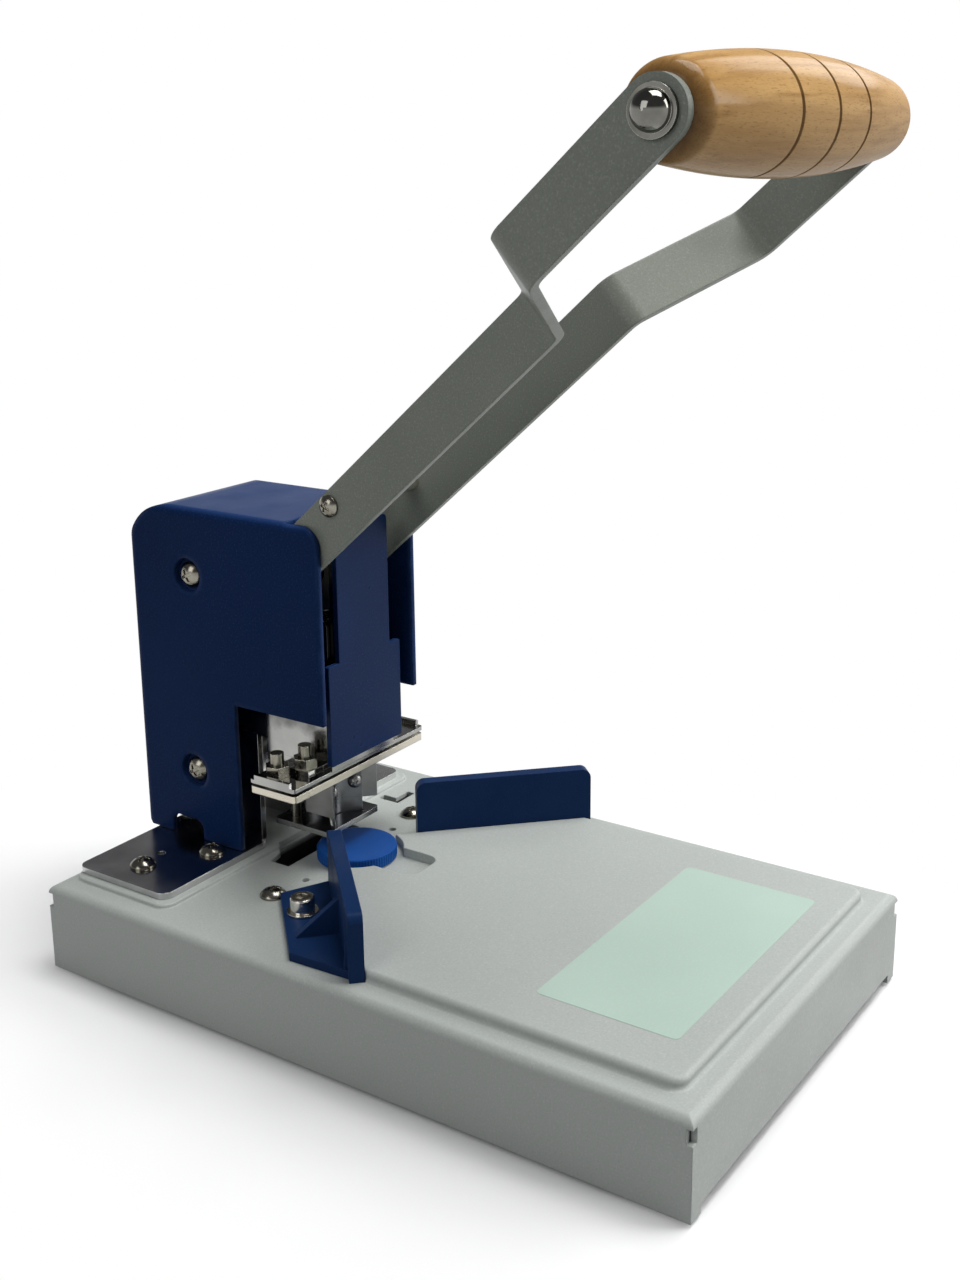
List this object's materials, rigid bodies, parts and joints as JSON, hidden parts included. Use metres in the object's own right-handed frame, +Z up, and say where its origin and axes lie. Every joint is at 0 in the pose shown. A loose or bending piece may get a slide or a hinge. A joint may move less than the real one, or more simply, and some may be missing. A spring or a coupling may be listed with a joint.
{
  "type": "corner cutter",
  "caption": "Hand-lever corner cutter for paper: folded steel base, corner guides, cutting disc, blue tower, sliding ram with curved blade and sprung presser foot, lever with wooden grip.",
  "frame": {"origin": "middle of the base, on the desk surface that the rubber feet stand on", "axes": "+X to the right seen from the front, +Y to the back (tower end), +Z up"},
  "size_m": [0.1634, 0.261, 0.3132],
  "materials": {
    "base_paint": "fine textured powder coat",
    "rubber": "matt",
    "guide_plastic": "moulded",
    "disc_plastic": "moulded",
    "cover_paint": "gloss paint",
    "lever_paint": "satin paint",
    "bush_brass": "turned",
    "beech": "turned and varnished",
    "blade_steel": "ground",
    "spring_steel": "drawn wire",
    "nickel": "nickel plated",
    "zinc": "zinc plated",
    "steel": "machined"
  },
  "bodies": {
    "base": {"base_tray": "base_paint", "rubber_feet": "rubber", "anvil_plate": "steel", "anvil_screws": "zinc", "left_guide": "guide_plastic", "right_guide": "guide_plastic", "guide_washers": "zinc", "guide_screws": "zinc", "guide_nuts": "zinc", "left_frame_plate": "nickel", "right_frame_plate": "nickel", "frame_screws": "zinc", "frame_nuts": "zinc", "spacer_bars": "steel", "tower_cover": "cover_paint", "cover_screws": "zinc", "pivot_shaft": "steel", "spring_seat": "steel", "guide_studs": "steel", "return_spring": "spring_steel"},
    "lever": {"left_lever_bar": "lever_paint", "right_lever_bar": "lever_paint", "lever_bushes": "bush_brass", "drive_pin": "steel", "tie_rod": "zinc", "tie_rod_screws": "zinc", "wooden_grip": "beech", "grip_bolt": "steel", "grip_cap_nuts": "zinc"},
    "ram": {"ram_channel": "nickel", "ram_head": "steel", "ram_face_plate": "cover_paint", "presser_spring_plate": "steel", "tool_tray": "nickel", "tool_plate": "nickel", "tool_spacers": "steel", "tool_studs": "zinc", "tool_nuts": "zinc", "blade_holder": "steel", "corner_blade": "blade_steel", "blade_screws": "zinc", "presser_springs": "spring_steel"},
    "presser": {"presser_foot": "nickel", "presser_pins": "zinc"},
    "disc": {"cutting_disc": "disc_plastic", "disc_clip": "steel"}
  },
  "joints": [
    {"name": "lever_hinge", "type": "hinge", "parent": "base", "child": "lever", "pos_m": [0, 0.085, 0.1254], "axis": [1, 0, 0], "range_deg": [0, 17], "stiffness_Nm_per_rad": 2, "springref_deg": -34.38},
    {"name": "ram_slide", "type": "slide", "parent": "base", "child": "ram", "axis": [0, 0, -1], "range_m": [0, 0.00745], "deforming": ["return_spring"]},
    {"name": "presser_slide", "type": "slide", "parent": "ram", "child": "presser", "axis": [0, 0, 1], "range_m": [0, 0.0045], "stiffness_N_per_m": 500, "springref_m": -0.01, "deforming": ["presser_springs"]},
    {"name": "disc_turn", "type": "hinge", "parent": "base", "child": "disc", "pos_m": [0, 0.05, 0.035], "axis": [0, 0, 1], "continuous": true}
  ],
  "couplings": [
    {"joint": "ram_slide", "follows": "lever_hinge", "m_per_rad": 0.025126}
  ]
}
